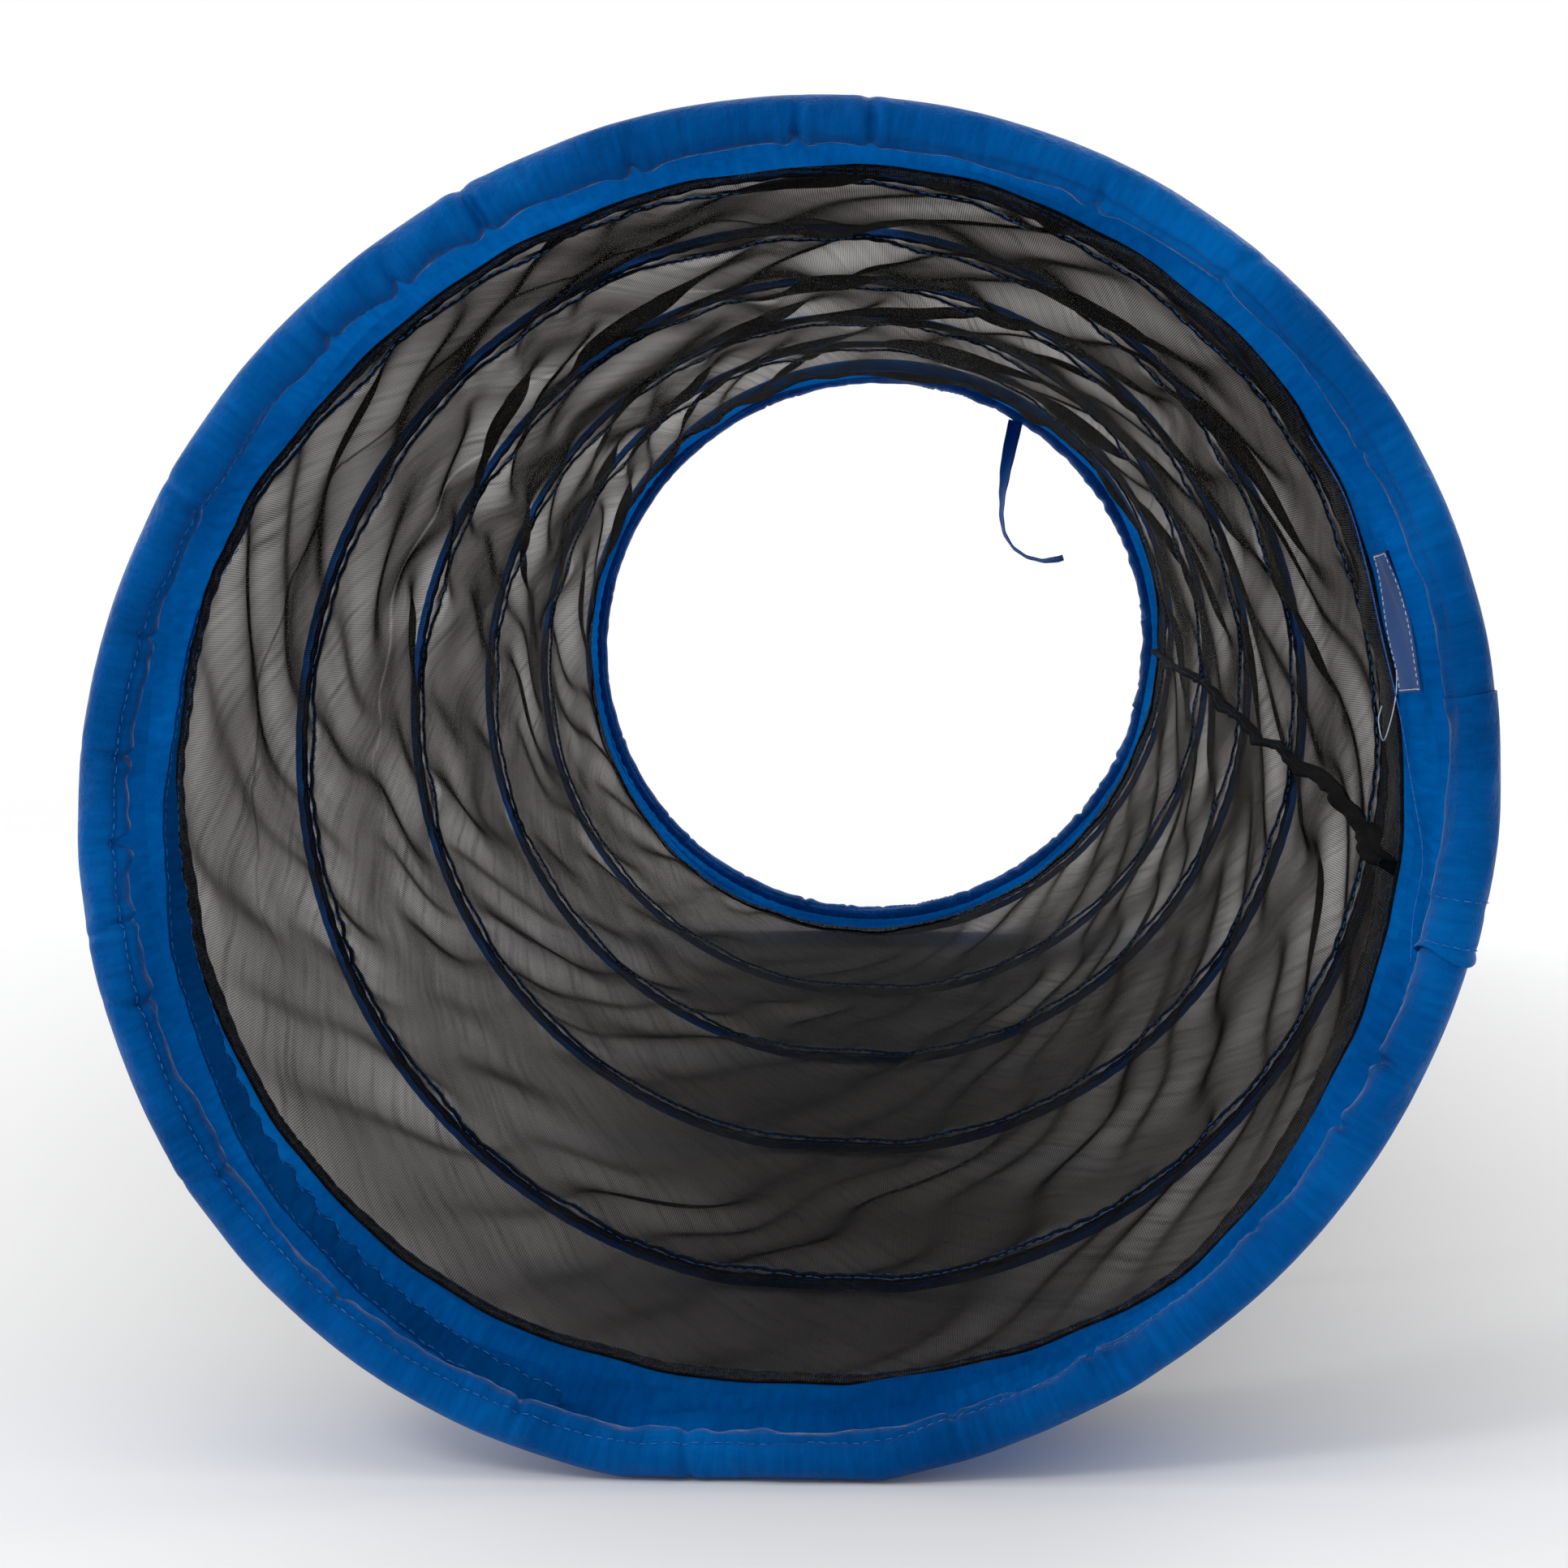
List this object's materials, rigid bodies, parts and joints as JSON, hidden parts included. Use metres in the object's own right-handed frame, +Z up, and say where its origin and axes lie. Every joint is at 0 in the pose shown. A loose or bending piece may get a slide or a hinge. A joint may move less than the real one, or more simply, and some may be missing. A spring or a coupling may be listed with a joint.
{
  "type": "pop-up play tunnel",
  "caption": "Collapsible crawl tunnel of black mesh on a spiral spring wire, with blue cloth bands and padded rims at both open mouths and a tie ribbon.",
  "frame": {"origin": "on the floor under the middle of the open tunnel", "axes": "+Y along the tunnel from the near mouth to the far mouth, +Z up, +X to the right seen from the near mouth"},
  "size_m": [0.4812, 1.8324, 0.477],
  "materials": {
    "blue_cloth": "satin",
    "blue_tape": "satin",
    "black_mesh": "matte",
    "label_cloth": "satin",
    "ribbon_cloth": "satin",
    "spring_steel": "satin",
    "crimp_metal": "satin"
  },
  "bodies": {
    "near_end": {"near_rim_casing": "blue_cloth", "near_casing_lap": "blue_cloth", "near_wire_loop": "spring_steel", "near_loop_crimp": "crimp_metal", "near_band": "blue_cloth", "side_label": "label_cloth"},
    "turn_1": {"wire_turn_1": "spring_steel", "channel_turn_1": "blue_tape", "mesh_panel_1": "black_mesh"},
    "turn_2": {"wire_turn_2": "spring_steel", "channel_turn_2": "blue_tape", "mesh_panel_2": "black_mesh"},
    "turn_3": {"wire_turn_3": "spring_steel", "channel_turn_3": "blue_tape", "mesh_panel_3": "black_mesh"},
    "turn_4": {"wire_turn_4": "spring_steel", "channel_turn_4": "blue_tape", "mesh_panel_4": "black_mesh"},
    "turn_5": {"wire_turn_5": "spring_steel", "channel_turn_5": "blue_tape", "mesh_panel_5": "black_mesh"},
    "far_end": {"wire_end_turn": "spring_steel", "channel_end_turn": "blue_tape", "far_band": "blue_cloth", "far_rim_casing": "blue_cloth", "far_casing_lap": "blue_cloth", "far_wire_loop": "spring_steel", "far_loop_crimp": "crimp_metal", "tie_ribbon": "ribbon_cloth"}
  },
  "joints": [
    {"name": "collapse", "type": "slide", "parent": "near_end", "child": "turn_1", "axis": [0, 1, 0], "range_m": [-0.165, 0], "stiffness_N_per_m": 180, "deforming": ["near_band", "side_label", "wire_turn_1", "channel_turn_1", "mesh_panel_1"]},
    {"name": "turn_2_collapse", "type": "slide", "parent": "turn_1", "child": "turn_2", "axis": [0, 1, 0], "range_m": [-0.33, 0], "stiffness_N_per_m": 90, "deforming": ["wire_turn_2", "channel_turn_2", "mesh_panel_2"]},
    {"name": "turn_3_collapse", "type": "slide", "parent": "turn_2", "child": "turn_3", "axis": [0, 1, 0], "range_m": [-0.33, 0], "stiffness_N_per_m": 90, "deforming": ["wire_turn_3", "channel_turn_3", "mesh_panel_3"]},
    {"name": "turn_4_collapse", "type": "slide", "parent": "turn_3", "child": "turn_4", "axis": [0, 1, 0], "range_m": [-0.33, 0], "stiffness_N_per_m": 90, "deforming": ["wire_turn_4", "channel_turn_4", "mesh_panel_4"]},
    {"name": "turn_5_collapse", "type": "slide", "parent": "turn_4", "child": "turn_5", "axis": [0, 1, 0], "range_m": [-0.33, 0], "stiffness_N_per_m": 90, "deforming": ["wire_turn_5", "channel_turn_5", "mesh_panel_5"]},
    {"name": "far_end_collapse", "type": "slide", "parent": "turn_5", "child": "far_end", "axis": [0, 1, 0], "range_m": [-0.2475, 0], "stiffness_N_per_m": 120, "deforming": ["wire_end_turn", "channel_end_turn", "far_band"]}
  ],
  "couplings": [
    {"joint": "turn_2_collapse", "follows": "collapse", "ratio": 2},
    {"joint": "turn_3_collapse", "follows": "collapse", "ratio": 2},
    {"joint": "turn_4_collapse", "follows": "collapse", "ratio": 2},
    {"joint": "turn_5_collapse", "follows": "collapse", "ratio": 2},
    {"joint": "far_end_collapse", "follows": "collapse", "ratio": 1.5}
  ]
}
